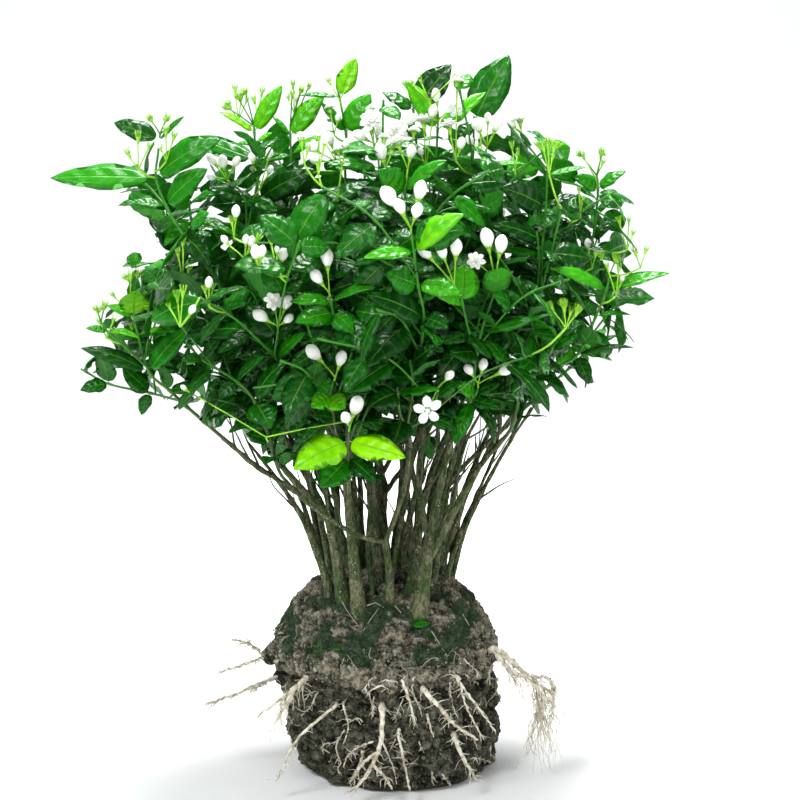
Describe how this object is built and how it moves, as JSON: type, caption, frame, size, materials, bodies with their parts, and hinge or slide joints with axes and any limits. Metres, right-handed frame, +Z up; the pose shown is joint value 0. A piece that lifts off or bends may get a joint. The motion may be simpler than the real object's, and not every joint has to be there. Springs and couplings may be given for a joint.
{
  "type": "arabian jasmine shrub with bare root ball",
  "caption": "Small flowering jasmine shrub with several woody stems, glossy opposite leaves, white buds and blooms, standing on its bare ball of soil and roots.",
  "frame": {"origin": "middle of the soil ball's flat underside", "axes": "+Z up along the stems, the shrub's front faces -Y, +X to the right seen from the front"},
  "size_m": [0.5821, 0.4308, 0.7196],
  "materials": {
    "soil": "crumbly earth with moss",
    "bark": "smooth grey-olive bark",
    "root": "pale fibrous roots",
    "leaf": "glossy green leaves and twigs",
    "flower": "matte white petals, green calyx"
  },
  "bodies": {
    "root": {"branch_back": "leaf", "branch_back_left": "leaf", "branch_back_low_left": "leaf", "branch_back_low_right": "leaf", "branch_back_right": "leaf", "branch_back_top": "leaf", "branch_bright_pair": "leaf", "branch_far_left": "leaf", "branch_front": "leaf", "branch_front_left": "leaf", "branch_front_low": "leaf", "branch_front_right": "leaf", "branch_heart": "leaf", "branch_left_high": "leaf", "branch_left_inner": "leaf", "branch_low_left": "leaf", "branch_middle_high": "leaf", "branch_right": "leaf", "branch_right_high": "leaf", "branch_right_low": "leaf", "branch_right_tall": "leaf", "branch_top": "leaf", "branch_top_left": "leaf", "branch_top_right": "leaf", "root_back": "root", "root_left": "root", "root_left_front": "root", "root_left_high": "root", "root_long": "root", "root_middle": "root", "root_middle_thin": "root", "root_over_rim": "root", "root_right_bundle": "root", "root_right_front": "root", "root_right_low": "root", "root_right_thin": "root", "soil_ball": "soil", "spray_bright_pair": "flower", "spray_front": "flower", "spray_front_left": "flower", "spray_heart": "flower", "spray_left": "flower", "spray_left_of_front": "flower", "spray_low_right": "flower", "spray_middle": "flower", "spray_open_flower": "flower", "spray_right": "flower", "spray_right_of_middle": "flower", "spray_top": "flower", "spray_top_left": "flower", "spray_top_right": "flower", "stem_back": "bark", "stem_back_left": "bark", "stem_back_right": "bark", "stem_behind_right": "bark", "stem_front_left": "bark", "stem_front_right": "bark", "stem_left": "bark", "stem_middle": "bark", "stem_thin": "bark"}
  },
  "joints": []
}
